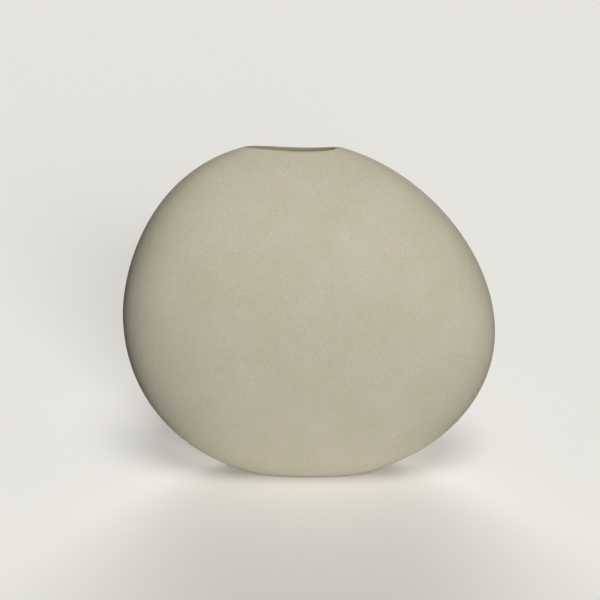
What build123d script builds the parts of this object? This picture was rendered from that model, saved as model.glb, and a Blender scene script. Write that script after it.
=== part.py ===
from build123d import *
import math
import os

# Overall sizes of the vase, in millimetres
body_width = 240.0
body_depth = 100.0
body_height = 215.7

# Outline seen from the front: it leans, so its two sides have sizes of their own
left_widest_height = 104.3
right_widest_height = 92.4
foot_width = 98.0
foot_lift = 1.0
mouth_width = 51.0
mouth_shift = -11.0
left_foot_angle = 19.7
right_foot_angle = 22.3
left_shoulder_angle = 12.5
right_shoulder_angle = 13.5

# How far each curve handle reaches: at the foot, below and above the widest point, at the mouth
left_handle_shares = (0.25, 0.66, 0.30, 0.75)
right_handle_shares = (0.61, 0.43, 0.42, 0.55)

# Depth seen from the side, and the fullness of the oval sections
foot_depth = 40.0
belly_height = 104.0
mouth_depth = 10.8
depth_foot_angle = 48.0
depth_shoulder_angle = 45.0
depth_handle_shares = (0.50, 0.62, 0.57, 0.45)
oval_fullness_share = 0.68

# Clay wall and the hollow inside it
wall = 5.0
floor_thickness = 8.5

# Mouth: moulded a little too high, trimmed along a wavy rim, slit open and softened
trim_spare = 0.8
rim_reach = 10.0
rim_pull = 4.0
rim_handle_share = 0.47
slit_length = 54.0
lip_land = 1.65
lip_round = 0.8

# Base slab: a flange under the shells with a plug that stands up between them
flange_inset = 3.5
flange_thickness = 4.0
plug_inset = 6.0
slip_film = 0.2

# Clay coils pressed into a groove along the inside of the seam
coil_width = 6.0
coil_depth = 2.5
coil_stop = 20.0

# Glaze that lines the hollow
glaze_thickness = 0.6
glaze_stop = 9.0

# Every cutter runs past what it cuts by this much
overrun = 10.0

# Ribs that carry each stretch of the form, and halvings in the search for a depth
spans_per_rail = 6
halvings = 40

# Height of the mould, with the spare clay above the rim
mould_top = body_height + trim_spare


def rail(foot, widest, mouth, foot_angle, mouth_angle, handle_shares):
    """Two curves in the XZ plane: foot to widest point, and widest point to mouth."""
    foot_share, below_share, above_share, mouth_share = handle_shares
    foot_reach = foot_share * (widest.X - foot.X)
    mouth_reach = mouth_share * (widest.X - mouth.X)
    foot_climb = abs(foot_reach) * math.tan(math.radians(foot_angle))
    mouth_drop = abs(mouth_reach) * math.tan(math.radians(mouth_angle))
    foot_handle = foot + Vector(foot_reach, 0, foot_climb)
    below_handle = widest - Vector(0, 0, below_share * (widest.Z - foot.Z))
    above_handle = widest + Vector(0, 0, above_share * (mouth.Z - widest.Z))
    mouth_handle = mouth + Vector(mouth_reach, 0, -mouth_drop)
    lower = Bezier(foot, foot_handle, below_handle, widest)
    upper = Bezier(widest, above_handle, mouth_handle, mouth)
    return lower, upper


left_rail = rail(
    Vector(-foot_width / 2, 0, foot_lift),
    Vector(-body_width / 2, 0, left_widest_height),
    Vector(mouth_shift - mouth_width / 2, 0, mould_top),
    left_foot_angle,
    left_shoulder_angle,
    left_handle_shares,
)
right_rail = rail(
    Vector(foot_width / 2, 0, foot_lift),
    Vector(body_width / 2, 0, right_widest_height),
    Vector(mouth_shift + mouth_width / 2, 0, mould_top),
    right_foot_angle,
    right_shoulder_angle,
    right_handle_shares,
)
# The depth rail is drawn flat in the XZ plane too: its X is half of the depth
depth_rail = rail(
    Vector(foot_depth / 2, 0, foot_lift),
    Vector(body_depth / 2, 0, belly_height),
    Vector(mouth_depth / 2, 0, mould_top),
    depth_foot_angle,
    depth_shoulder_angle,
    depth_handle_shares,
)


def rail_point(curves, station, inset, side):
    """Point at a station from 0 (foot) to 2 (mouth), moved in from the rail; side is 1 right, -1 left."""
    stretch = min(int(station), len(curves) - 1)
    place = station - stretch
    inward = (curves[stretch] % place).cross(Vector(0, side, 0))
    return curves[stretch] @ place + inward * inset


def half_depth(height, inset):
    """Half of the depth at a height, found by halving the stations of the depth rail."""
    low, high = 0, len(depth_rail)
    for _ in range(halvings):
        middle = (low + high) / 2
        if rail_point(depth_rail, middle, inset, 1).Z < height:
            low = middle
        else:
            high = middle
    return rail_point(depth_rail, low, inset, 1).X


def oval(left, right, depth):
    """Closed oval between two end points, as four quarter curves of the same fullness."""
    middle = (left + right) / 2
    quarters = []
    for end, crown in ((left, -depth), (right, -depth), (right, depth), (left, depth)):
        reach = (end - middle) * oval_fullness_share
        bulge = Vector(0, crown, 0)
        points = [end, end + bulge * oval_fullness_share, middle + bulge + reach, middle + bulge]
        quarters.append(Bezier(*points))
    return Wire(quarters)


def pebble(inset):
    """The vase's whole form, moved in from its outer face by an inset."""
    ribs = []
    for step in range(2 * spans_per_rail + 1):
        station = step / spans_per_rail
        left = rail_point(left_rail, station, inset, -1)
        right = rail_point(right_rail, station, inset, 1)
        ribs.append(oval(left, right, half_depth((left.Z + right.Z) / 2, inset)))
    return Solid.make_loft(ribs)


def slab_between(low, high):
    """A block wider and deeper than the vase between two heights."""
    block = Box(body_width + 2 * overrun, body_depth + 2 * overrun, high - low)
    return Pos(0, 0, (low + high) / 2) * block


def hollow(inset, floor):
    """The space inside the wall above a floor."""
    return pebble(inset) & slab_between(floor, mould_top + overrun)


def oval_prism(length, width, shift, low, high):
    """Upright prism of an oval."""
    left = Vector(shift - length / 2, 0, low)
    right = Vector(shift + length / 2, 0, low)
    return extrude(Face(oval(left, right, width / 2)), high - low, dir=(0, 0, 1))


def slit():
    """Cutter for the mouth's slit, which leaves a narrow land between it and the outer face."""
    width = 2 * (half_depth(body_height, 0) - lip_land)
    return oval_prism(slit_length, width, mouth_shift, body_height - wall - overrun, mould_top + overrun)


def rim_cutter():
    """Everything above the rim, whose line starts level on the left and dips right of its middle."""
    left = Vector(mouth_shift - slit_length / 2 - rim_reach, 0, body_height)
    right = Vector(mouth_shift + slit_length / 2 + rim_reach, 0, body_height)
    level_handle = left + (right - left) * rim_handle_share
    pulled_handle = level_handle - Vector(0, 0, rim_pull)
    rim = Bezier(left, level_handle, pulled_handle, right)
    far_left = left - (rim % 0) * body_width
    far_right = right + (rim % 1) * body_width
    upward = Vector(0, 0, body_height + body_width)
    above = Polyline(right, far_right, far_right + upward, far_left + upward, far_left, left)
    outline = Face(Wire([*rim.edges(), *above.edges()]))
    return extrude(outline, body_depth, dir=(0, 1, 0), both=True)


def moulded_body():
    """Both halves of the moulded shell in one, hollow, with the edges at the rim rounded."""
    body = pebble(0) - chamber - slit() - rim_cutter()
    below_rim = body_height - rim_pull
    return fillet(body.edges().filter_by(lambda edge: edge.bounding_box().min.Z > below_rim), lip_round)


def base_slab(gap):
    """Flange and plug of the base; a gap makes it the matching recess in the shells."""
    flange_length = foot_width - 2 * flange_inset
    flange_width = foot_depth - 2 * flange_inset
    plug_length = flange_length - 2 * plug_inset
    plug_width = flange_width - 2 * plug_inset
    flange = oval_prism(flange_length + gap, flange_width + gap, 0, 0, flange_thickness)
    plug = oval_prism(plug_length + gap, plug_width + gap, 0, flange_thickness, floor_thickness)
    return flange + plug


def seam_coils():
    """The two coils, left then right, between the groove's bottom and the hollow."""
    band = Box(body_width, coil_width, body_height - coil_stop - floor_thickness)
    band = Pos(0, 0, (body_height - coil_stop + floor_thickness) / 2) * band
    ring = (pebble(wall - coil_depth) - pebble(wall)) & band
    return ring.solids().sort_by(Axis.X)


def liner_glaze():
    """Thin coat of glaze over the hollow's floor and walls, up to below the mouth."""
    coat = chamber & slab_between(0, body_height - glaze_stop)
    return coat - hollow(wall + glaze_thickness, floor_thickness + glaze_thickness)


chamber = hollow(wall, floor_thickness)
left_coil, right_coil = seam_coils()
shell_cuts = base_slab(2 * slip_film) + left_coil + right_coil
front_shell = split(moulded_body(), bisect_by=Plane.XZ, keep=Keep.TOP) - shell_cuts

nodes = {
    "front_shell": front_shell,
    "back_shell": mirror(front_shell, about=Plane.XZ),
    "base_slab": base_slab(0),
    "seam_coil_left": left_coil,
    "seam_coil_right": right_coil,
    "liner_glaze": liner_glaze(),
}

os.makedirs("parts", exist_ok=True)
for name, shape in nodes.items():
    export_step(shape, f"parts/{name}.step")
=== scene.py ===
import math

import bmesh
import bpy
from bpy.props import FloatProperty, FloatVectorProperty, PointerProperty
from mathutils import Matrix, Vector


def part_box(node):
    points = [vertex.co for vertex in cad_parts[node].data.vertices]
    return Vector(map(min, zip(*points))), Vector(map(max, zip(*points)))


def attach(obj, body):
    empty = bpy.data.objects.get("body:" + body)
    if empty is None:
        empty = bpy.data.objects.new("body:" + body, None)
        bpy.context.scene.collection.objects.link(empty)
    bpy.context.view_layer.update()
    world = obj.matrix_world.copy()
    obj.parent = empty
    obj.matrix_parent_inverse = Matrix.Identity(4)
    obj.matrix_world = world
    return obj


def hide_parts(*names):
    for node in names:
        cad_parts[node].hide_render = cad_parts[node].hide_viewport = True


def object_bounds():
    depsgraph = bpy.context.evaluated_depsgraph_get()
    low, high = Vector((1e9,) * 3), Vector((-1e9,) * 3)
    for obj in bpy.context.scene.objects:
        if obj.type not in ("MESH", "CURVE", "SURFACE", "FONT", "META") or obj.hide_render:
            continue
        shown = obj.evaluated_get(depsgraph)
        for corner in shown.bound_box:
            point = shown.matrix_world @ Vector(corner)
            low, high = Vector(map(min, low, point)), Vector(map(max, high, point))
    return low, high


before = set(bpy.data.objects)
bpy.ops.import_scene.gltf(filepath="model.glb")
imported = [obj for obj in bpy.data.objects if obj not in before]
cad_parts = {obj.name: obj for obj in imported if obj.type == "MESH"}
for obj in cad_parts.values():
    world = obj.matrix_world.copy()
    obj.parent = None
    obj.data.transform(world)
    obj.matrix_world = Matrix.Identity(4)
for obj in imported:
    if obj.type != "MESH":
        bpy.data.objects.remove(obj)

bl_info = {
    "name": "Pillow Vase",
    "version": (1, 0, 0),
    "blender": (4, 5, 0),
    "location": "3D View > Sidebar > Vase",
    "description": "Dresses the packed pillow vase: clay shells, base slab, seam coils, liner glaze and stage",
    "category": "Object",
}

MM = 0.001
IMAGE_PIXELS = 600

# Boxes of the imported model, from which the main sizes start
CAD_LOW, CAD_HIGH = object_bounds()
SLAB_LOW, SLAB_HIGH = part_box("base_slab")

# Fineness of the guides, and the straight lead past their ends in metres
GUIDE_STEPS = 240
GUIDE_LEAD = 0.02
# Rays that look for a guide start this far off and reach this far, in metres
RAY_START = 1.0
RAY_LENGTH = 2.0

# Fineness of the shell's mesh: columns across it, and rows of each strip
COLUMNS = 193
OUTER_ROWS = 160
CREST_ROWS = 13
SLIT_ROWS = 6
ROOF_ROWS = 5
RECESS_ROWS = 3

# Distances in metres within which strips, and then a half's two parts, are welded
STRIP_WELD = 2e-6
SEAM_WELD = 5e-6
# Edges that bend by more than this are shaded sharp
SHARP_BEND = math.radians(40)


# Property helpers

def length(name, description, millimetres):
    """A size in metres, given in millimetres."""
    return FloatProperty(
        name=name, description=description, default=millimetres * MM, unit="LENGTH", precision=4
    )


def turn(name, description, degrees):
    """An angle."""
    return FloatProperty(name=name, description=description, default=math.radians(degrees), subtype="ANGLE")


def shares(name, description, values):
    """Four shares, one for each curve handle."""
    return FloatVectorProperty(name=name, description=description, size=4, default=values, subtype="NONE")


def linear(hex_colour):
    """Linear colour from an sRGB hex value."""
    channels = [int(hex_colour[i:i + 2], 16) / 255 for i in (1, 3, 5)]
    return [c / 12.92 if c <= 0.04045 else ((c + 0.055) / 1.055) ** 2.4 for c in channels]


def colour(name, description, hex_colour):
    """A colour that a user may change."""
    return FloatVectorProperty(
        name=name, description=description, size=3, default=linear(hex_colour), subtype="COLOR", min=0, max=1
    )


class VaseSizes(bpy.types.PropertyGroup):
    """Sizes of the clay form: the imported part's own, but for a slightly shorter and blunter slit"""

    body_width: FloatProperty(
        name="Width", description="Widest size, left to right",
        default=round(CAD_HIGH.x - CAD_LOW.x, 3), unit="LENGTH",
    )
    body_depth: FloatProperty(
        name="Depth", description="Deepest size, front to back",
        default=round(CAD_HIGH.y - CAD_LOW.y, 3), unit="LENGTH",
    )
    body_height: length("Height", "Height of the rim's level end", 215.7)
    left_widest_height: length("Left widest height", "Height of the left side's widest point", 104.3)
    right_widest_height: length("Right widest height", "Height of the right side's widest point", 92.4)
    foot_width: length("Foot width", "Width of the outline where it meets the foot", 98)
    foot_depth: length("Foot depth", "Depth of the form where it meets the foot", 40)
    foot_lift: length("Foot lift", "How far the shells stand above the surface", 1)
    mouth_width: length("Mouth width", "Width of the outline at the mould's top", 51)
    mouth_depth: length("Mouth depth", "Depth of the form at the mould's top", 10.8)
    mouth_shift: length("Mouth shift", "How far the mouth leans from the middle", -11)
    belly_height: length("Belly height", "Height of the deepest section", 104)
    left_foot_angle: turn("Left foot angle", "Climb of the outline at the foot's left end", 19.7)
    right_foot_angle: turn("Right foot angle", "Climb of the outline at the foot's right end", 22.3)
    left_shoulder_angle: turn("Left shoulder angle", "Fall of the outline at the mouth's left end", 12.5)
    right_shoulder_angle: turn("Right shoulder angle", "Fall of the outline at the mouth's right end", 13.5)
    depth_foot_angle: turn("Depth foot angle", "Climb of the side profile at the foot", 48)
    depth_shoulder_angle: turn("Depth shoulder angle", "Fall of the side profile at the mouth", 45)
    left_handles: shares("Left handles", "Reach of the left side's curve handles", (0.25, 0.66, 0.30, 0.75))
    right_handles: shares("Right handles", "Reach of the right side's curve handles", (0.61, 0.43, 0.42, 0.55))
    depth_handles: shares(
        "Depth handles", "Reach of the side profile's curve handles", (0.50, 0.62, 0.57, 0.45)
    )
    oval_fullness: FloatProperty(
        name="Oval fullness", description="Fullness of the oval sections", default=0.68, subtype="FACTOR",
    )
    wall: length("Wall", "Thickness of the clay wall", 5)
    trim_spare: length("Trim spare", "Clay above the rim that is trimmed away", 0.8)
    rim_reach: length("Rim reach", "How far the rim's line runs to each side of the mouth", 37)
    rim_pull: length("Rim pull", "How far the rim's curve is pulled down", 4)
    rim_handle: FloatProperty(
        name="Rim handle", description="Where the rim's curve handles stand", default=0.47, subtype="FACTOR",
    )
    slit_length: length("Slit length", "Length of the mouth's slit", 53)
    slit_shift: length("Slit shift", "How far the slit leans from the middle", -11.5)
    slit_width: length("Slit width", "Width of the mouth's slit", 9.10)
    slit_fullness: FloatProperty(
        name="Slit fullness", description="Fullness of the slit's oval", default=0.95, subtype="FACTOR",
    )
    slit_flare: FloatProperty(
        name="Slit flare", description="How much wider than its middle the slit is at its right end",
        default=0.15, subtype="FACTOR",
    )
    lip_round: length("Lip round", "How far the lip's rounding reaches down", 0.8)
    plug_inset: length("Plug inset", "Step from the base's flange to its plug", 6)
    flange_thickness: length("Flange thickness", "Thickness of the base's flange", 4)
    slip_film: length("Slip film", "Gap of slip round the base slab", 0.2)


class VaseFinishes(bpy.types.PropertyGroup):
    """Colours of the clays and the glaze, and the painted shade of the mouth"""

    clay: colour("Clay", "Middle tone of the stoneware", "#A59F8D")
    clay_light: colour("Light clay", "Pale clouds in the stoneware", "#A8A192")
    clay_dark: colour("Dark clay", "Deeper clouds in the stoneware", "#A29E8A")
    # Painted shade: a darker tone drawn over the lip's crest and inside the mouth, for the shade of the slit
    mouth_painted_shade: colour("Mouth painted shade", "Painted shade inside the mouth", "#817A65")
    speck: colour("Speck", "Small dark specks in the clay", "#7D7560")
    base_clay: colour("Base clay", "Bare ground clay of the base", "#B9AE94")
    coil_clay: colour("Coil clay", "Bare clay of the seam coils", "#B5AB92")
    glaze: colour("Liner glaze", "Thin glaze inside", "#AFA58C")


class VaseStage(bpy.types.PropertyGroup):
    """Floor, light and camera"""

    floor_colour: colour("Floor", "Pale painted floor", "#F6F4EE")
    camera_place: FloatVectorProperty(
        name="Camera", description="Where the camera stands", size=3,
        default=(-6.01 * MM, -703.25 * MM, 345.57 * MM), subtype="TRANSLATION", unit="LENGTH",
    )
    camera_pitch: turn("Camera pitch", "How far the camera looks down", 18.06)
    focal_pixels: FloatProperty(name="Focal length", description="Focal length in image pixels", default=1150)
    near_radius: length("Near floor", "Radius of the floor that throws light back on the vase", 110)
    floor_radius: length("Floor radius", "Radius of the whole round floor", 12000)


# Studio lights: name, degrees round from the front to the right, degrees up, softness in degrees, strength
STUDIO_LIGHTS = (
    ("low_light", 13, 10, 30, 4.05),
    ("high_light", 13, 65, 30, 1.2),
    ("back_light", 180, 18, 45, 2.8),
)
FLOOR_SEGMENTS = 128
# Strength at which the backdrop has nearly the tone of the lit floor, so that the horizon hardly shows
BACKDROP_STRENGTH = 0.855


# Node helpers

def add_node(tree, kind, links=None, **settings):
    """Add one node; links maps each input to the socket it comes from, or to its value."""
    node = tree.nodes.new(kind)
    for setting, value in settings.items():
        setattr(node, setting, value)
    for key, source in (links or {}).items():
        if isinstance(source, bpy.types.NodeSocket):
            tree.links.new(source, node.inputs[key])
        else:
            node.inputs[key].default_value = source
    return node


def new_group(name, inputs, outputs):
    """A geometry node group with named inputs and outputs."""
    tree = bpy.data.node_groups.new(name, "GeometryNodeTree")
    for socket, kind in inputs.items():
        tree.interface.new_socket(socket, in_out="INPUT", socket_type="NodeSocket" + kind)
    for socket, kind in outputs.items():
        tree.interface.new_socket(socket, in_out="OUTPUT", socket_type="NodeSocket" + kind)
    given = tree.nodes.new("NodeGroupInput").outputs
    result = tree.nodes.new("NodeGroupOutput").inputs
    return tree, given, result


# Guide curves

def draw_guide(name, spans, joined=False):
    """Curve object of Bezier spans, as one spline each or joined into one."""
    curve = bpy.data.curves.new(name, "CURVE")
    curve.dimensions = "3D"
    curve.resolution_u = GUIDE_STEPS
    groups = [spans] if joined else [[span] for span in spans]
    for group in groups:
        points = curve.splines.new("BEZIER").bezier_points
        points.add(len(group))
        for point in points:
            point.handle_left_type = point.handle_right_type = "FREE"
        points[0].handle_left = group[0][0]
        points[-1].handle_right = group[-1][3]
        for before, after, (start, start_handle, end_handle, end) in zip(points, points[1:], group):
            before.co, before.handle_right = start, start_handle
            after.handle_left, after.co = end_handle, end
    guide = bpy.data.objects.new(name, curve)
    bpy.context.scene.collection.objects.link(guide)
    return guide


def rail_spans(foot, widest, mouth, foot_angle, mouth_angle, handles):
    """Two Bezier spans in the XZ plane: foot to widest point, and widest point to mouth."""
    foot, widest, mouth = Vector(foot), Vector(widest), Vector(mouth)
    foot_share, below_share, above_share, mouth_share = handles
    foot_reach = foot_share * (widest.x - foot.x)
    mouth_reach = mouth_share * (widest.x - mouth.x)
    foot_handle = foot + Vector((foot_reach, 0, abs(foot_reach) * math.tan(foot_angle)))
    below_handle = widest - Vector((0, 0, below_share * (widest.z - foot.z)))
    above_handle = widest + Vector((0, 0, above_share * (mouth.z - widest.z)))
    mouth_handle = mouth + Vector((mouth_reach, 0, -abs(mouth_reach) * math.tan(mouth_angle)))
    return [(foot, foot_handle, below_handle, widest), (widest, above_handle, mouth_handle, mouth)]


def with_leads(spans):
    """The same spans with a straight lead before the first and after the last."""
    start, start_handle = spans[0][:2]
    end_handle, end = spans[-1][2:]
    before = start + (start - start_handle).normalized() * GUIDE_LEAD
    after = end + (end - end_handle).normalized() * GUIDE_LEAD
    lead_in = (before, before.lerp(start, 1 / 3), before.lerp(start, 2 / 3), start)
    lead_out = (end, end.lerp(after, 1 / 3), end.lerp(after, 2 / 3), after)
    return [lead_in, *spans, lead_out]


def draw_guides(sizes):
    """The form's four guides: both sides, the side profile and the rim."""
    top = sizes.body_height + sizes.trim_spare
    half_mouth = sizes.mouth_width / 2
    left = rail_spans(
        (-sizes.foot_width / 2, 0, sizes.foot_lift),
        (-sizes.body_width / 2, 0, sizes.left_widest_height),
        (sizes.mouth_shift - half_mouth, 0, top),
        sizes.left_foot_angle, sizes.left_shoulder_angle, sizes.left_handles,
    )
    right = rail_spans(
        (sizes.foot_width / 2, 0, sizes.foot_lift),
        (sizes.body_width / 2, 0, sizes.right_widest_height),
        (sizes.mouth_shift + half_mouth, 0, top),
        sizes.right_foot_angle, sizes.right_shoulder_angle, sizes.right_handles,
    )
    # The side profile is drawn flat as well: its X is half of the depth
    depth = rail_spans(
        (sizes.foot_depth / 2, 0, sizes.foot_lift),
        (sizes.body_depth / 2, 0, sizes.belly_height),
        (sizes.mouth_depth / 2, 0, top),
        sizes.depth_foot_angle, sizes.depth_shoulder_angle, sizes.depth_handles,
    )
    rim_left = Vector((sizes.mouth_shift - sizes.rim_reach, 0, sizes.body_height))
    rim_right = Vector((sizes.mouth_shift + sizes.rim_reach, 0, sizes.body_height))
    level = rim_left.lerp(rim_right, sizes.rim_handle)
    rim = [(rim_left, level, level - Vector((0, 0, sizes.rim_pull)), rim_right)]
    return {
        "Left Rail": draw_guide("left_rail", left),
        "Right Rail": draw_guide("right_rail", right),
        "Side Profile": draw_guide("side_profile", with_leads(depth), joined=True),
        "Rim": draw_guide("rim", with_leads(rim), joined=True),
    }


# Geometry node groups of the clay shell

def ribbon_group():
    """A ribbon that stands on a guide, moved in from it, for rays to find."""
    tree, given, result = new_group(
        "Guide ribbon", {"Guide": "Object", "Inset": "Float"}, {"Ribbon": "Geometry"}
    )
    guide = add_node(tree, "GeometryNodeObjectInfo", {"Object": given["Guide"]})
    fine = add_node(tree, "GeometryNodeResampleCurve", {"Curve": guide.outputs["Geometry"]}, mode="EVALUATED")
    tangent = add_node(tree, "GeometryNodeInputTangent")
    inward = add_node(
        tree, "ShaderNodeVectorMath", {0: tangent.outputs[0], 1: (0, 1, 0)}, operation="CROSS_PRODUCT"
    )
    moved = add_node(
        tree, "ShaderNodeVectorMath", {0: inward.outputs[0], "Scale": given["Inset"]}, operation="SCALE"
    )
    placed = add_node(
        tree, "GeometryNodeSetPosition", {"Geometry": fine.outputs[0], "Offset": moved.outputs[0]}
    )
    line = add_node(tree, "GeometryNodeCurveToMesh", {"Curve": placed.outputs[0]})
    sideways = add_node(tree, "FunctionNodeInputVector", vector=(0, 1, 0))
    ribbon = add_node(
        tree, "GeometryNodeExtrudeMesh",
        {"Mesh": line.outputs[0], "Offset": sideways.outputs[0], "Offset Scale": 2 * GUIDE_LEAD},
        mode="EDGES",
    )
    tree.links.new(ribbon.outputs["Mesh"], result["Ribbon"])
    return tree


def form_group():
    """A point of the pebble form: how high, how far along its oval section, how far in."""
    tree, given, result = new_group(
        "Point on the form",
        {
            "Left Rail": "Object", "Right Rail": "Object", "Profile Ribbon": "Geometry",
            "Inset": "Float", "Station": "Float", "Along": "Float", "Bulge": "Float",
        },
        {"Position": "Vector"},
    )
    whole = add_node(tree, "ShaderNodeMath", {0: given["Station"]}, operation="FLOOR")
    stretch = add_node(tree, "ShaderNodeMath", {0: whole.outputs[0], 1: 1}, operation="MINIMUM")
    place = add_node(tree, "ShaderNodeMath", {0: given["Station"], 1: stretch.outputs[0]}, operation="SUBTRACT")
    ends = []
    for rail, side in (("Left Rail", -1), ("Right Rail", 1)):
        guide = add_node(tree, "GeometryNodeObjectInfo", {"Object": given[rail]})
        sample = add_node(
            tree, "GeometryNodeSampleCurve",
            {
                "Curves": guide.outputs["Geometry"], "Factor": place.outputs[0],
                "Curve Index": stretch.outputs[0],
            },
        )
        inward = add_node(
            tree, "ShaderNodeVectorMath",
            {0: sample.outputs["Tangent"], 1: (0, side, 0)}, operation="CROSS_PRODUCT",
        )
        moved = add_node(
            tree, "ShaderNodeVectorMath", {0: inward.outputs[0], "Scale": given["Inset"]}, operation="SCALE"
        )
        end = add_node(tree, "ShaderNodeVectorMath", {0: sample.outputs["Position"], 1: moved.outputs[0]})
        ends.append(end.outputs[0])
    share = add_node(
        tree, "ShaderNodeMath", {0: given["Along"], 1: 0.5, 2: 0.5}, operation="MULTIPLY_ADD"
    )
    on_rib = add_node(
        tree, "ShaderNodeMix", {0: share.outputs[0], 4: ends[0], 5: ends[1]},
        data_type="VECTOR", clamp_factor=False,
    )
    middle = add_node(tree, "ShaderNodeMix", {0: 0.5, 4: ends[0], 5: ends[1]}, data_type="VECTOR")
    middle_xyz = add_node(tree, "ShaderNodeSeparateXYZ", {0: middle.outputs[1]})
    far = add_node(
        tree, "ShaderNodeCombineXYZ", {"X": RAY_START, "Y": GUIDE_LEAD, "Z": middle_xyz.outputs["Z"]}
    )
    ray = add_node(
        tree, "GeometryNodeRaycast",
        {
            "Target Geometry": given["Profile Ribbon"], "Source Position": far.outputs[0],
            "Ray Direction": (-1, 0, 0), "Ray Length": RAY_LENGTH,
        },
    )
    half_depth = add_node(tree, "ShaderNodeSeparateXYZ", {0: ray.outputs["Hit Position"]})
    bulge = add_node(
        tree, "ShaderNodeMath", {0: half_depth.outputs["X"], 1: given["Bulge"]}, operation="MULTIPLY"
    )
    front = add_node(tree, "ShaderNodeMath", {0: bulge.outputs[0], 1: -1}, operation="MULTIPLY")
    on_rib_xyz = add_node(tree, "ShaderNodeSeparateXYZ", {0: on_rib.outputs[1]})
    point = add_node(
        tree, "ShaderNodeCombineXYZ",
        {"X": on_rib_xyz.outputs["X"], "Y": front.outputs[0], "Z": on_rib_xyz.outputs["Z"]},
    )
    tree.links.new(point.outputs[0], result["Position"])
    return tree


def oval_group():
    """A point of a level oval, such as the slit, the plug's recess or the flange's recess."""
    tree, given, result = new_group(
        "Point on an oval",
        {
            "Along": "Float", "Bulge": "Float", "Length": "Float",
            "Width": "Float", "Shift": "Float", "Height": "Float",
        },
        {"Position": "Vector"},
    )
    halves = [
        add_node(tree, "ShaderNodeMath", {0: given[size], 1: factor}, operation="MULTIPLY").outputs[0]
        for size, factor in (("Length", 0.5), ("Width", -0.5))
    ]
    across = add_node(
        tree, "ShaderNodeMath", {0: given["Along"], 1: halves[0], 2: given["Shift"]}, operation="MULTIPLY_ADD"
    )
    front = add_node(tree, "ShaderNodeMath", {0: given["Bulge"], 1: halves[1]}, operation="MULTIPLY")
    point = add_node(
        tree, "ShaderNodeCombineXYZ",
        {"X": across.outputs[0], "Y": front.outputs[0], "Z": given["Height"]},
    )
    tree.links.new(point.outputs[0], result["Position"])
    return tree


SHELL_INPUTS = {
    "Left Rail": "Object", "Right Rail": "Object", "Side Profile": "Object", "Rim": "Object",
    "Oval Fullness": "Float", "Wall": "Float", "Floor": "Float", "Foot Lift": "Float",
    "Slit Length": "Float", "Slit Width": "Float", "Slit Shift": "Float", "Slit Flare": "Float",
    "Slit Fullness": "Float", "Lip Round": "Float", "Lip Blend": "Float",
    "Flange Length": "Float", "Flange Width": "Float", "Flange Top": "Float",
    "Plug Length": "Float", "Plug Width": "Float", "Columns": "Int", "Rows": "Int",
    "Back": "Bool", "Clay": "Material",
}
# Stations of the hollow: where the mouth's inside meets the wall, and where the wall meets the floor
CROWN_STATION = 1.90
FLOOR_STATION = 0.0625
# Search of the rim's edge: first station, stations per metre of height there, and number of steps
FIRST_STATION = 1.93
STATIONS_PER_METRE = 27.0
LIP_SEARCHES = 5
# Lip: stations below the rim at which it starts
LIP_BLEND = 0.016
# Rise of the crest's handles, as a share of the lip's rounding
CREST_LIFT = 0.3
# Where over the crest, from outside to inside, the mouth's painted shade starts and is full
MOUTH_SHADE_START, MOUTH_SHADE_FULL = 0.3, 0.7
# Columns crowd towards the seam, so that its faces lean no more than the form does
COLUMN_EASE = 0.35


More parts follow.
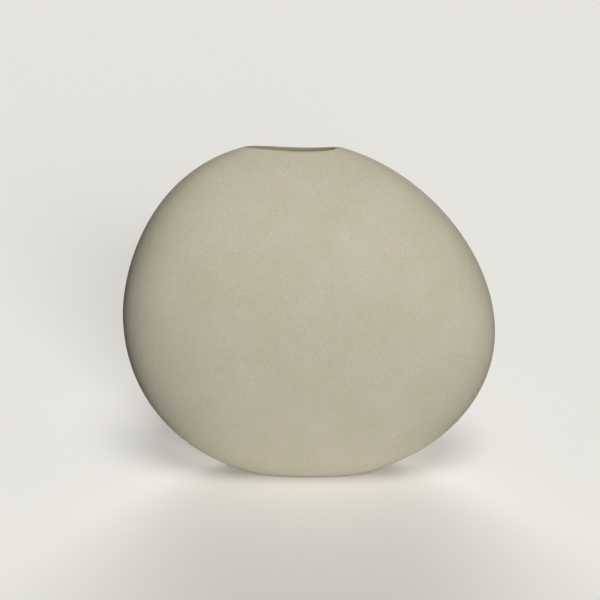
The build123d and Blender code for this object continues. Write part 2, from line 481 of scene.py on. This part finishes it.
def shell_group():
    """Half of the clay body: outer face, rounded lip, slit, hollow and the recess for the base."""
    ribbon, form, oval = ribbon_group(), form_group(), oval_group()
    tree, given, result = new_group("Clay shell", SHELL_INPUTS, {"Geometry": "Geometry"})
    ribbons = {}
    for name, guide, inset in (
        ("outer", "Side Profile", 0.0), ("inner", "Side Profile", given["Wall"]), ("rim", "Rim", 0.0)
    ):
        links = {"Guide": given[guide], "Inset": inset}
        ribbons[name] = add_node(tree, "GeometryNodeGroup", links, node_tree=ribbon).outputs["Ribbon"]

    # Every strip starts as a unit grid: its X becomes the place along the section, its Y the row
    place = add_node(tree, "GeometryNodeInputPosition")
    place_xyz = add_node(tree, "ShaderNodeSeparateXYZ", {0: place.outputs[0]})
    across = add_node(tree, "ShaderNodeMath", {0: place_xyz.outputs["X"], 1: 2.0}, operation="MULTIPLY")
    row = add_node(tree, "ShaderNodeMath", {0: place_xyz.outputs["Y"], 1: 0.5}).outputs[0]
    square = add_node(
        tree, "ShaderNodeMath", {0: across.outputs[0], 1: across.outputs[0]}, operation="MULTIPLY"
    )
    ease = add_node(
        tree, "ShaderNodeMath", {0: square.outputs[0], 1: -COLUMN_EASE, 2: 1 + COLUMN_EASE},
        operation="MULTIPLY_ADD",
    )
    eased = add_node(tree, "ShaderNodeMath", {0: across.outputs[0], 1: ease.outputs[0]}, operation="MULTIPLY")
    reach = add_node(tree, "ShaderNodeMath", {0: eased.outputs[0]}, operation="ABSOLUTE")
    side = add_node(tree, "ShaderNodeMath", {0: eased.outputs[0]}, operation="SIGN")

    def section_place(fullness):
        """Where each column stands on an oval of a fullness: how far along it, and how far out."""
        level_handle = add_node(tree, "ShaderNodeCombineXYZ", {"X": given[fullness], "Y": 1.0})
        upright_handle = add_node(tree, "ShaderNodeCombineXYZ", {"X": 1.0, "Y": given[fullness]})
        quarter = add_node(
            tree, "GeometryNodeCurvePrimitiveBezierSegment",
            {
                "Resolution": GUIDE_STEPS, "Start": (0, 1, 0), "Start Handle": level_handle.outputs[0],
                "End Handle": upright_handle.outputs[0], "End": (1, 0, 0),
            },
        )
        on_quarter = add_node(
            tree, "GeometryNodeSampleCurve", {"Curves": quarter.outputs[0], "Factor": reach.outputs[0]}
        )
        quarter_xyz = add_node(tree, "ShaderNodeSeparateXYZ", {0: on_quarter.outputs["Position"]})
        along = add_node(
            tree, "ShaderNodeMath", {0: quarter_xyz.outputs["X"], 1: side.outputs[0]}, operation="MULTIPLY"
        )
        return {"Along": along.outputs[0], "Bulge": quarter_xyz.outputs["Y"]}

    body_place, slit_place = section_place("Oval Fullness"), section_place("Slit Fullness")
    # The slit widens towards its right end
    flare = add_node(
        tree, "ShaderNodeMath", {0: slit_place["Along"], 1: given["Slit Flare"], 2: 1.0},
        operation="MULTIPLY_ADD",
    )
    slit_place["Bulge"] = add_node(
        tree, "ShaderNodeMath", {0: slit_place["Bulge"], 1: flare.outputs[0]}, operation="MULTIPLY"
    ).outputs[0]

    def form_point(station, face):
        """Point of the outer or inner face at a station."""
        links = {
            "Left Rail": given["Left Rail"], "Right Rail": given["Right Rail"],
            "Profile Ribbon": ribbons[face], "Station": station, **body_place,
        }
        if face == "inner":
            links["Inset"] = given["Wall"]
        return add_node(tree, "GeometryNodeGroup", links, node_tree=form).outputs["Position"]

    def oval_point(length_input, width_input, height, shift=0.0, place=body_place):
        """Point of a level oval at a height."""
        links = {
            **place, "Length": given[length_input], "Width": given[width_input],
            "Height": height, "Shift": shift,
        }
        return add_node(tree, "GeometryNodeGroup", links, node_tree=oval).outputs["Position"]

    def rim_height(point):
        """Height of the rim's line above or below a point."""
        point_xyz = add_node(tree, "ShaderNodeSeparateXYZ", {0: point})
        above = add_node(
            tree, "ShaderNodeCombineXYZ", {"X": point_xyz.outputs["X"], "Y": GUIDE_LEAD, "Z": RAY_START}
        )
        ray = add_node(
            tree, "GeometryNodeRaycast",
            {
                "Target Geometry": ribbons["rim"], "Source Position": above.outputs[0],
                "Ray Direction": (0, 0, -1), "Ray Length": RAY_LENGTH,
            },
        )
        hit = add_node(tree, "ShaderNodeSeparateXYZ", {0: ray.outputs["Hit Position"]})
        return hit.outputs["Z"], point_xyz.outputs["Z"]

    def raised(point, height, factor=1.0):
        """A point moved up by a height, or down where the factor is negative."""
        lift = add_node(tree, "ShaderNodeMath", {0: height, 1: factor}, operation="MULTIPLY")
        offset = add_node(tree, "ShaderNodeCombineXYZ", {"Z": lift.outputs[0]})
        return add_node(tree, "ShaderNodeVectorMath", {0: point, 1: offset.outputs[0]}).outputs[0]

    def between(start, end, factor):
        """Point between two others."""
        mix = add_node(tree, "ShaderNodeMix", {0: factor, 4: start, 5: end}, data_type="VECTOR")
        return mix.outputs[1]

    # Station at which each column of the outer face reaches the rim
    top = add_node(tree, "ShaderNodeValue").outputs[0]
    top.default_value = FIRST_STATION
    for _ in range(LIP_SEARCHES):
        rim, height = rim_height(form_point(top, "outer"))
        short = add_node(tree, "ShaderNodeMath", {0: rim, 1: height}, operation="SUBTRACT")
        top = add_node(
            tree, "ShaderNodeMath", {0: short.outputs[0], 1: STATIONS_PER_METRE, 2: top},
            operation="MULTIPLY_ADD",
        ).outputs[0]
    below_top = add_node(tree, "ShaderNodeMath", {0: top, 1: given["Lip Blend"]}, operation="SUBTRACT")
    outer_station = add_node(
        tree, "ShaderNodeMath", {0: below_top.outputs[0], 1: row}, operation="MULTIPLY"
    )

    # Lip: a rounded crest from the outer face over the rim into the slit
    skin_edge = form_point(below_top.outputs[0], "outer")
    rim_edge = form_point(top, "outer")
    slit_flat = oval_point("Slit Length", "Slit Width", 0.0, given["Slit Shift"], slit_place)
    slit_edge = raised(slit_flat, rim_height(slit_flat)[0])
    slit_shoulder = raised(slit_edge, given["Lip Round"], -1.0)
    crest = [
        skin_edge, raised(rim_edge, given["Lip Round"], CREST_LIFT),
        raised(slit_edge, given["Lip Round"], CREST_LIFT), slit_shoulder,
    ]
    while len(crest) > 1:
        crest = [between(start, end, row) for start, end in zip(crest, crest[1:])]

    # Hollow: the slit's wall, the roof beside it, the wall down to the floor
    slit_foot = raised(slit_edge, given["Wall"], -1.0)
    roof_edge = form_point(CROWN_STATION, "inner")
    station = add_node(
        tree, "ShaderNodeMath", {0: row, 1: FLOOR_STATION - CROWN_STATION, 2: CROWN_STATION},
        operation="MULTIPLY_ADD",
    )

    def above_floor(point):
        """A point of the inner face, raised to the floor where it lies lower."""
        point_xyz = add_node(tree, "ShaderNodeSeparateXYZ", {0: point})
        height = add_node(
            tree, "ShaderNodeMath", {0: point_xyz.outputs["Z"], 1: given["Floor"]}, operation="MAXIMUM"
        )
        lifted = add_node(
            tree, "ShaderNodeCombineXYZ",
            {"X": point_xyz.outputs["X"], "Y": point_xyz.outputs["Y"], "Z": height.outputs[0]},
        )
        return lifted.outputs[0]

    wall_point = above_floor(form_point(station.outputs[0], "inner"))
    floor_edge = above_floor(form_point(FLOOR_STATION, "inner"))

    # Strips in order from the foot up, over the lip, down the hollow and out under the foot
    rings = [
        floor_edge,
        oval_point("Plug Length", "Plug Width", given["Floor"]),
        oval_point("Plug Length", "Plug Width", given["Flange Top"]),
        oval_point("Flange Length", "Flange Width", given["Flange Top"]),
        oval_point("Flange Length", "Flange Width", given["Foot Lift"]),
        form_point(0.0, "outer"),
    ]
    half_rows = add_node(tree, "ShaderNodeMath", {0: given["Rows"], 1: 0.5}, operation="MULTIPLY")
    over_crest = add_node(
        tree, "ShaderNodeMapRange",
        {"Value": row, "From Min": MOUTH_SHADE_START, "From Max": MOUTH_SHADE_FULL},
        interpolation_type="SMOOTHSTEP",
    )
    # The third value of each strip is how much of the mouth's painted shade it takes
    strips = [
        (form_point(outer_station.outputs[0], "outer"), given["Rows"], 0.0),
        (crest[0], CREST_ROWS, over_crest.outputs[0]),
        (between(slit_shoulder, slit_foot, row), SLIT_ROWS, 1.0),
        (between(slit_foot, roof_edge, row), ROOF_ROWS, 1.0),
        (wall_point, half_rows.outputs[0], 1.0),
    ]
    strips += [(between(start, end, row), RECESS_ROWS, 0.0) for start, end in zip(rings, rings[1:])]
    joined = add_node(tree, "GeometryNodeJoinGeometry")
    for position, rows, inside in strips:
        grid = add_node(
            tree, "GeometryNodeMeshGrid",
            {"Size X": 1.0, "Size Y": 1.0, "Vertices X": given["Columns"], "Vertices Y": rows},
        )
        marked = add_node(
            tree, "GeometryNodeStoreNamedAttribute",
            {"Geometry": grid.outputs["Mesh"], "Name": "inside", "Value": inside},
            data_type="FLOAT", domain="POINT",
        )
        strip = add_node(
            tree, "GeometryNodeSetPosition", {"Geometry": marked.outputs[0], "Position": position}
        )
        tree.links.new(strip.outputs[0], joined.inputs[0])
    skin = add_node(
        tree, "GeometryNodeMergeByDistance", {"Geometry": joined.outputs[0], "Distance": STRIP_WELD}
    )

    # The faces on which the halves meet: the open edges are laid flat, filled and stood up again
    neighbours = add_node(tree, "GeometryNodeInputMeshEdgeNeighbors")
    is_open = add_node(
        tree, "FunctionNodeCompare", {2: neighbours.outputs[0], 3: 1}, data_type="INT", operation="EQUAL"
    )
    outline = add_node(
        tree, "GeometryNodeMeshToCurve", {"Mesh": skin.outputs[0], "Selection": is_open.outputs[0]}
    )
    flat = add_node(
        tree, "GeometryNodeTransform", {"Geometry": outline.outputs[0], "Rotation": (-math.pi / 2, 0, 0)}
    )
    filled = add_node(tree, "GeometryNodeFillCurve", {"Curve": flat.outputs[0]})
    stood = add_node(
        tree, "GeometryNodeTransform", {"Geometry": filled.outputs[0], "Rotation": (math.pi / 2, 0, 0)}
    )
    seam_face = add_node(tree, "GeometryNodeFlipFaces", {"Mesh": stood.outputs[0]})
    closing = add_node(tree, "GeometryNodeJoinGeometry")
    for part in (skin, seam_face):
        tree.links.new(part.outputs[0], closing.inputs[0])
    front_half = add_node(
        tree, "GeometryNodeMergeByDistance", {"Geometry": closing.outputs[0], "Distance": SEAM_WELD}
    )

    # The back half is the front one mirrored, with its faces turned to point outwards again
    mirrored = add_node(
        tree, "GeometryNodeTransform", {"Geometry": front_half.outputs[0], "Scale": (1, -1, 1)}
    )
    turned = add_node(tree, "GeometryNodeFlipFaces", {"Mesh": mirrored.outputs[0]})
    half = add_node(
        tree, "GeometryNodeSwitch",
        {"Switch": given["Back"], "False": front_half.outputs[0], "True": turned.outputs[0]},
        input_type="GEOMETRY",
    )
    smooth = add_node(tree, "GeometryNodeSetShadeSmooth", {"Geometry": half.outputs[0]}, domain="FACE")
    bend = add_node(tree, "GeometryNodeInputMeshEdgeAngle")
    is_sharp = add_node(
        tree, "FunctionNodeCompare", {0: bend.outputs[0], 1: SHARP_BEND}, operation="GREATER_THAN"
    )
    edged = add_node(
        tree, "GeometryNodeSetShadeSmooth",
        {"Geometry": smooth.outputs[0], "Selection": is_sharp.outputs[0], "Shade Smooth": False},
        domain="EDGE",
    )
    real = add_node(tree, "GeometryNodeRealizeInstances", {"Geometry": edged.outputs[0]})
    clad = add_node(
        tree, "GeometryNodeSetMaterial", {"Geometry": real.outputs[0], "Material": given["Clay"]}
    )
    tree.links.new(clad.outputs[0], result["Geometry"])
    return tree


def grown_mesh(name, tree, inputs):
    """Object with the plain mesh that a node tree makes from these inputs."""
    mesh = bpy.data.meshes.new(name)
    piece = bpy.data.objects.new(name, mesh)
    bpy.context.scene.collection.objects.link(piece)
    modifier = piece.modifiers.new("Form", "NODES")
    modifier.node_group = tree
    for socket in tree.interface.items_tree:
        if socket.in_out == "INPUT" and socket.name in inputs:
            modifier[socket.identifier] = inputs[socket.name]
    evaluated = piece.evaluated_get(bpy.context.evaluated_depsgraph_get())
    made = bpy.data.meshes.new_from_object(evaluated)
    piece.modifiers.remove(modifier)
    made.name = name
    piece.data = made
    bpy.data.meshes.remove(mesh)
    if not made.polygons:
        raise RuntimeError(f"{name} came out empty")
    return piece


# Materials

def new_material(name, values):
    """Material with a shader of these plain values, ready for its patterns."""
    material = bpy.data.materials.new(name)
    material.use_nodes = True
    tree = material.node_tree
    shader = tree.nodes["Principled BSDF"]
    for key, value in values.items():
        shader.inputs[key].default_value = value
    return material, tree, shader


def stoneware(finishes):
    """Sponged stoneware: matte and fine-grained, faintly mottled, with a few dark specks and hairlines."""
    material, tree, shader = new_material(
        "sponged_stoneware", {"Roughness": 0.82, "IOR": 1.5, "Specular IOR Level": 0.12}
    )
    place = add_node(tree, "ShaderNodeTexCoord").outputs["Object"]
    # Broad clouds from the sponge, 30 mm across: yellower where dark, pinker where pale
    clouds = add_node(
        tree, "ShaderNodeTexNoise",
        {"Vector": place, "Scale": 1 / (30 * MM), "Detail": 3.0, "Roughness": 0.55},
    )
    cloud_ramp = add_node(tree, "ShaderNodeValToRGB", {"Fac": clouds.outputs["Fac"]})
    stops = cloud_ramp.color_ramp.elements
    stops[0].position, stops[0].color = 0.32, (*finishes.clay_dark, 1)
    stops[1].position, stops[1].color = 0.68, (*finishes.clay_light, 1)
    stops.new(0.5).color = (*finishes.clay, 1)
    # Mottle of 7 mm that shifts each colour channel by itself, and so the hue
    mottle = add_node(
        tree, "ShaderNodeTexNoise",
        {"Vector": place, "Scale": 1 / (7 * MM), "Detail": 3.0, "Roughness": 0.6},
    )
    mottle_range = add_node(
        tree, "ShaderNodeMapRange",
        {"Vector": mottle.outputs["Color"], 7: (0.3,) * 3, 8: (0.7,) * 3, 9: (0.986,) * 3, 10: (1.014,) * 3},
        data_type="FLOAT_VECTOR",
    )
    # Grain of 0.9 mm: the real grit is finer, and is drawn this coarse so that it shows
    grain = add_node(
        tree, "ShaderNodeTexNoise",
        {"Vector": place, "Scale": 1 / (0.9 * MM), "Detail": 3.0, "Roughness": 0.75},
    )
    grain_range = add_node(
        tree, "ShaderNodeMapRange",
        {"Value": grain.outputs["Fac"], "From Min": 0.3, "From Max": 0.7, "To Min": 0.88, "To Max": 1.11},
    )
    tone = cloud_ramp.outputs["Color"]
    for pattern in (mottle_range.outputs["Vector"], grain_range.outputs["Result"]):
        tone = add_node(
            tree, "ShaderNodeMix", {0: 1.0, 6: tone, 7: pattern}, data_type="RGBA", blend_type="MULTIPLY"
        ).outputs[2]
    # Specks up to 0.9 mm across and hairlines up to 4 mm long, where the face cuts seeds in the clay
    for stretch, spacing, radius in (((1, 1, 1), 15 * MM, 0.45 * MM), ((1, 0.3, 0.12), 6 * MM, 0.22 * MM)):
        turned = add_node(
            tree, "ShaderNodeMapping", {"Vector": place, "Rotation": (0, 0.4, 0), "Scale": stretch}
        )
        seeds = add_node(
            tree, "ShaderNodeTexVoronoi", {"Vector": turned.outputs[0], "Scale": 1 / spacing}
        )
        mark = add_node(
            tree, "ShaderNodeMapRange",
            {
                "Value": seeds.outputs["Distance"], "From Min": 0.4 * radius / spacing,
                "From Max": radius / spacing, "To Min": 0.7, "To Max": 0.0,
            },
        )
        tone = add_node(
            tree, "ShaderNodeMix", {0: mark.outputs[0], 6: tone, 7: (*finishes.speck, 1)}, data_type="RGBA"
        ).outputs[2]
    # Painted shade: the clay over the lip's crest and inside the mouth is drawn darker, standing in for the
    # shade in the slit
    inside = add_node(tree, "ShaderNodeAttribute", attribute_name="inside")
    tone = add_node(
        tree, "ShaderNodeMix", {0: inside.outputs["Fac"], 6: tone, 7: (*finishes.mouth_painted_shade, 1)},
        data_type="RGBA",
    ).outputs[2]
    tree.links.new(tone, shader.inputs["Base Color"])
    bump = add_node(
        tree, "ShaderNodeBump", {"Strength": 0.25, "Distance": 0.05 * MM, "Height": grain.outputs["Fac"]}
    )
    tree.links.new(bump.outputs[0], shader.inputs["Normal"])
    return material


def bare_clay(name, tone):
    """Bare fired clay: chalky and a little rough, as ground or pressed by hand."""
    material, tree, shader = new_material(name, {"Roughness": 0.9, "IOR": 1.5, "Specular IOR Level": 0.25})
    place = add_node(tree, "ShaderNodeTexCoord").outputs["Object"]
    grain = add_node(
        tree, "ShaderNodeTexNoise",
        {"Vector": place, "Scale": 1 / (1.2 * MM), "Detail": 5.0, "Roughness": 0.7},
    )
    tones = add_node(
        tree, "ShaderNodeMapRange",
        {"Value": grain.outputs["Fac"], "From Min": 0.3, "From Max": 0.7, "To Min": 0.9, "To Max": 1.07},
    )
    grained = add_node(
        tree, "ShaderNodeMix", {0: 1.0, 6: (*tone, 1), 7: tones.outputs[0]},
        data_type="RGBA", blend_type="MULTIPLY",
    )
    tree.links.new(grained.outputs[2], shader.inputs["Base Color"])
    bump = add_node(
        tree, "ShaderNodeBump", {"Strength": 0.4, "Distance": 0.1 * MM, "Height": grain.outputs["Fac"]}
    )
    tree.links.new(bump.outputs[0], shader.inputs["Normal"])
    return material


def liner_glaze(finishes):
    """Satin liner glaze: thin, brushed inside, with soft pooling and a low gloss."""
    material, tree, shader = new_material("satin_liner_glaze", {"IOR": 1.52, "Roughness": 0.35})
    place = add_node(tree, "ShaderNodeTexCoord").outputs["Object"]
    pools = add_node(
        tree, "ShaderNodeTexNoise", {"Vector": place, "Scale": 1 / (14 * MM), "Detail": 2.0}
    )
    tones = add_node(
        tree, "ShaderNodeMapRange",
        {"Value": pools.outputs["Fac"], "From Min": 0.3, "From Max": 0.7, "To Min": 0.88, "To Max": 1.06},
    )
    pooled = add_node(
        tree, "ShaderNodeMix", {0: 1.0, 6: (*finishes.glaze, 1), 7: tones.outputs[0]},
        data_type="RGBA", blend_type="MULTIPLY",
    )
    tree.links.new(pooled.outputs[2], shader.inputs["Base Color"])
    gloss = add_node(
        tree, "ShaderNodeMapRange",
        {"Value": pools.outputs["Fac"], "From Min": 0.3, "From Max": 0.7, "To Min": 0.28, "To Max": 0.45},
    )
    tree.links.new(gloss.outputs[0], shader.inputs["Roughness"])
    return material


def dress(node, material):
    """Give a carried-over CAD node its material."""
    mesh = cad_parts[node].data
    mesh.materials.clear()
    mesh.materials.append(material)


def floor_ring(name, inner, outer, paint):
    """Flat ring of floor, or a disc where the inner radius is nought."""
    shape = bmesh.new()
    radii = (inner, outer) if inner else (outer,)
    for radius in radii:
        bmesh.ops.create_circle(shape, cap_ends=not inner, segments=FLOOR_SEGMENTS, radius=radius)
    if inner:
        bmesh.ops.bridge_loops(shape, edges=shape.edges)
    bmesh.ops.recalc_face_normals(shape, faces=shape.faces)
    mesh = bpy.data.meshes.new(name)
    shape.to_mesh(mesh)
    shape.free()
    mesh.materials.append(paint)
    ring = bpy.data.objects.new(name, mesh)
    bpy.context.scene.collection.objects.link(ring)
    return ring


# Operators

class VASE_OT_shells(bpy.types.Operator):
    """Make the front and back clay shells that stand for the two moulded halves"""

    bl_idname = "vase.shells"
    bl_label = "Clay shells"

    def execute(self, context):
        sizes = context.scene.vase_sizes
        guides = draw_guides(sizes)
        slab_size = SLAB_HIGH - SLAB_LOW
        gap = 2 * sizes.slip_film
        inputs = {
            **guides,
            "Oval Fullness": sizes.oval_fullness, "Wall": sizes.wall,
            "Floor": SLAB_HIGH.z, "Foot Lift": sizes.foot_lift,
            "Slit Length": sizes.slit_length, "Slit Width": sizes.slit_width, "Slit Shift": sizes.slit_shift,
            "Slit Flare": sizes.slit_flare, "Slit Fullness": sizes.slit_fullness,
            "Lip Round": sizes.lip_round, "Lip Blend": LIP_BLEND,
            "Flange Length": slab_size.x + gap, "Flange Width": slab_size.y + gap,
            "Flange Top": sizes.flange_thickness,
            "Plug Length": slab_size.x - 2 * sizes.plug_inset + gap,
            "Plug Width": slab_size.y - 2 * sizes.plug_inset + gap,
            "Columns": COLUMNS, "Rows": OUTER_ROWS,
            "Clay": stoneware(context.scene.vase_finishes),
        }
        tree = shell_group()
        for name, node, is_back in (
            ("front_clay_shell", "front_shell", False), ("back_clay_shell", "back_shell", True)
        ):
            shell = grown_mesh(name, tree, {**inputs, "Back": is_back})
            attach(shell, "root")
            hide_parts(node)
        for guide in guides.values():
            bpy.data.curves.remove(guide.data)
        return {"FINISHED"}


class VASE_OT_base(bpy.types.Operator):
    """Dress the base slab in bare ground clay"""

    bl_idname = "vase.base"
    bl_label = "Base slab"

    def execute(self, context):
        dress("base_slab", bare_clay("ground_base_clay", context.scene.vase_finishes.base_clay))
        return {"FINISHED"}


class VASE_OT_coils(bpy.types.Operator):
    """Dress the seam coils in bare pressed clay"""

    bl_idname = "vase.coils"
    bl_label = "Seam coils"

    def execute(self, context):
        clay = bare_clay("pressed_coil_clay", context.scene.vase_finishes.coil_clay)
        for node in ("seam_coil_left", "seam_coil_right"):
            dress(node, clay)
        return {"FINISHED"}


class VASE_OT_liner(bpy.types.Operator):
    """Dress the inside in its satin liner glaze"""

    bl_idname = "vase.liner"
    bl_label = "Liner glaze"

    def execute(self, context):
        dress("liner_glaze", liner_glaze(context.scene.vase_finishes))
        return {"FINISHED"}


class VASE_OT_stage(bpy.types.Operator):
    """Set the pale floor, the soft light and the camera"""

    bl_idname = "vase.stage"
    bl_label = "Stage"

    def execute(self, context):
        stage = context.scene.vase_stage
        paint, _, _ = new_material(
            "matte_paint",
            {"Base Color": (*stage.floor_colour, 1), "Roughness": 1.0, "Specular IOR Level": 0.0},
        )
        # Round floor in two rings: light comes back from the near one alone, so the vase's edges stay deep
        near = floor_ring("near_floor", 0, stage.near_radius, paint)
        far = floor_ring("far_floor", stage.near_radius, stage.floor_radius, paint)
        far.visible_diffuse = False

        # The pale surround is only a backdrop; three soft lights do the lighting
        world = bpy.data.worlds.new("studio")
        world.use_nodes = True
        surround = world.node_tree.nodes["Background"].inputs
        surround["Color"].default_value = (*stage.floor_colour, 1)
        surround["Strength"].default_value = BACKDROP_STRENGTH
        world.cycles_visibility.diffuse = False
        world.cycles_visibility.glossy = False
        context.scene.world = world
        for name, azimuth, elevation, spread, strength in STUDIO_LIGHTS:
            lamp = bpy.data.lights.new(name, "SUN")
            lamp.angle = math.radians(spread)
            lamp.energy = strength
            holder = bpy.data.objects.new(name, lamp)
            holder.rotation_euler = (math.radians(90 - elevation), 0, math.radians(azimuth))
            context.scene.collection.objects.link(holder)

        camera = bpy.data.cameras.new("camera")
        camera.sensor_width = 36.0
        camera.lens = stage.focal_pixels / IMAGE_PIXELS * camera.sensor_width
        holder = bpy.data.objects.new("camera", camera)
        holder.location = stage.camera_place
        holder.rotation_euler = (math.pi / 2 - stage.camera_pitch, 0, 0)
        context.scene.collection.objects.link(holder)
        context.scene.camera = holder
        context.scene.view_settings.view_transform = "Standard"
        return {"FINISHED"}


OPERATORS = (VASE_OT_shells, VASE_OT_base, VASE_OT_coils, VASE_OT_liner, VASE_OT_stage)


class VASE_PT_panel(bpy.types.Panel):
    """Lists the vase's operators and settings"""

    bl_idname = "VASE_PT_panel"
    bl_label = "Pillow Vase"
    bl_space_type = "VIEW_3D"
    bl_region_type = "UI"
    bl_category = "Vase"

    def draw(self, context):
        scene = context.scene
        for operator in OPERATORS:
            self.layout.operator(operator.bl_idname)
        for settings in (scene.vase_sizes, scene.vase_finishes, scene.vase_stage):
            column = self.layout.column()
            for name in settings.bl_rna.properties.keys():
                if name not in ("rna_type", "name"):
                    column.prop(settings, name)


SETTINGS = {"vase_sizes": VaseSizes, "vase_finishes": VaseFinishes, "vase_stage": VaseStage}
CLASSES = (*SETTINGS.values(), *OPERATORS, VASE_PT_panel)


def register():
    for cls in CLASSES:
        bpy.utils.register_class(cls)
    for name, group in SETTINGS.items():
        setattr(bpy.types.Scene, name, PointerProperty(type=group))


def unregister():
    for name in SETTINGS:
        delattr(bpy.types.Scene, name)
    for cls in reversed(CLASSES):
        bpy.utils.unregister_class(cls)


def main():
    """Make every piece and the stage."""
    register()
    bpy.ops.vase.shells()
    bpy.ops.vase.base()
    bpy.ops.vase.coils()
    bpy.ops.vase.liner()
    bpy.ops.vase.stage()


if __name__ == "__main__":
    main()
